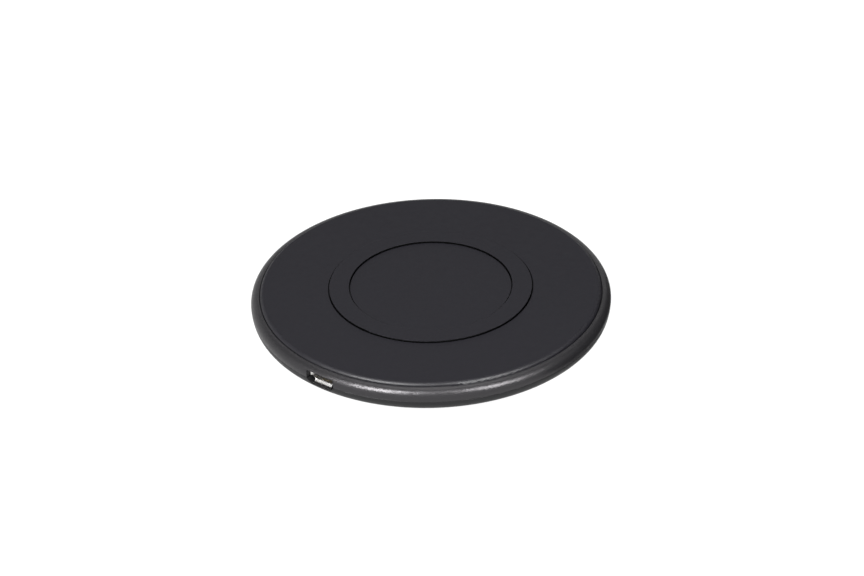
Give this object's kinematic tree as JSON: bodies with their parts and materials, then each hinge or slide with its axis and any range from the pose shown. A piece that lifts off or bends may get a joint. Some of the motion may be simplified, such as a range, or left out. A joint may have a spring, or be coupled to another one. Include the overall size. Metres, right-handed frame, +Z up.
{
  "type": "wireless charging pad",
  "caption": "Thin round wireless charging pad with a raised grip ring, metallic rim and micro-USB inlet.",
  "frame": {"origin": "centre of the disc, on the surface the feet stand on", "axes": "+Z up out of the charging surface; -Y out of the micro-USB inlet; +Y out of the indicator light"},
  "size_m": [0.1, 0.0998, 0.0087],
  "materials": {
    "soft_touch_black": "matte soft-touch black with a very fine grain",
    "grip_silicone": "matte black silicone",
    "adhesive_film": "thin adhesive film",
    "rim_paint": "dark grey metallic paint with fine sparkle",
    "case_black": "fine-textured black moulding",
    "foot_rubber": "matte black rubber",
    "screw_steel": "black-zinc plated steel",
    "label_film": "blank silver-grey label",
    "shell_steel": "bright nickel-plated steel sheet",
    "insulator_black": "moulded insulator",
    "contact_gold": "gold-plated contacts",
    "board_green": "green solder mask on glass-fibre board",
    "carrier_plastic": "natural white moulding",
    "ferrite": "sintered dark grey ferrite",
    "coil_copper": "enamelled stranded copper wire",
    "bead_glass": "glass bead sensor on plated legs",
    "chip_black": "moulded package on tinned leads",
    "capacitor_ceramic": "ceramic body with tinned ends",
    "resistor_black": "black film on ceramic with tinned ends",
    "fuse_ceramic": "white ceramic with tinned ends",
    "inductor_ferrite": "shielded ferrite block",
    "crystal_metal": "metal-lidded crystal",
    "led_lens": "epoxy lens",
    "guide_clear": "clear acrylic"
  },
  "bodies": {
    "root": {"top_cover": "soft_touch_black", "grip_ring": "grip_silicone", "cover_tape": "adhesive_film", "rim_housing": "rim_paint", "bottom_cover": "case_black", "rubber_feet": "foot_rubber", "housing_screws": "screw_steel", "rating_label": "label_film", "usb_shell": "shell_steel", "usb_insulator": "insulator_black", "usb_contacts": "contact_gold", "main_board": "board_green", "coil_carrier": "carrier_plastic", "ferrite_disc": "ferrite", "coil_tape": "adhesive_film", "charging_coil": "coil_copper", "coil_leads": "coil_copper", "thermistor": "bead_glass", "controller_chip": "chip_black", "power_transistors": "chip_black", "resonant_capacitors": "capacitor_ceramic", "smoothing_capacitors": "capacitor_ceramic", "sense_resistor": "resistor_black", "chip_resistors": "resistor_black", "chip_capacitors": "capacitor_ceramic", "input_fuse": "fuse_ceramic", "power_inductor": "inductor_ferrite", "crystal": "crystal_metal", "surge_diode": "chip_black", "status_leds": "led_lens", "light_guide": "guide_clear"}
  },
  "joints": []
}
